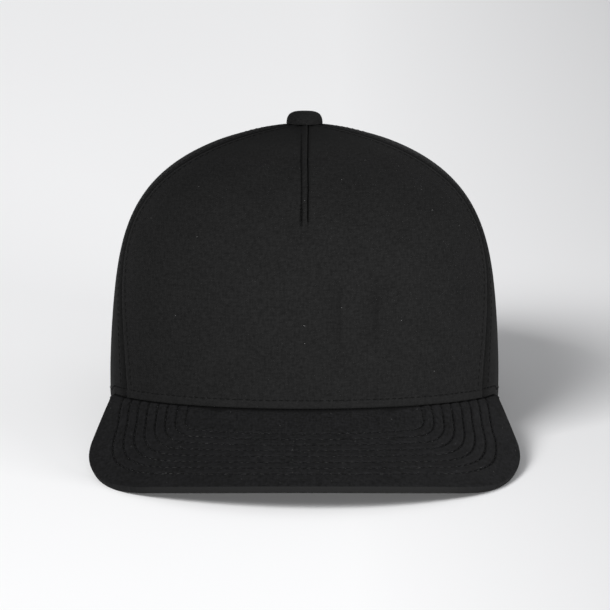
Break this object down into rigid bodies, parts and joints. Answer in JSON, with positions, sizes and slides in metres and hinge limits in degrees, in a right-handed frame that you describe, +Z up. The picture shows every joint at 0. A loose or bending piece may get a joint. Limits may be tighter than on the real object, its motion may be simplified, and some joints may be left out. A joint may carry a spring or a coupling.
{
  "type": "snapback cap",
  "caption": "Plain black snapback cap with a stitched flat peak, a covered button on top and a plastic snap strap at the back.",
  "frame": {"origin": "middle of the cap's base on the surface that it rests on", "axes": "+Z up, the peak points to -Y, +X to the right as seen from in front of the peak"},
  "size_m": [0.1924, 0.2514, 0.1371],
  "materials": {
    "black_twill": "matte fine cotton twill",
    "sweatband_cloth": "matte woven sweatband",
    "black_plastic": "moulded, slightly glossy"
  },
  "bodies": {
    "root": {"front_panel": "black_twill", "side_panel_left": "black_twill", "side_panel_right": "black_twill", "back_panel_left": "black_twill", "back_panel_right": "black_twill", "top_button": "black_twill", "peak": "black_twill", "sweatband": "sweatband_cloth", "strap_pegs": "black_plastic", "strap_holes": "black_plastic"}
  },
  "joints": []
}
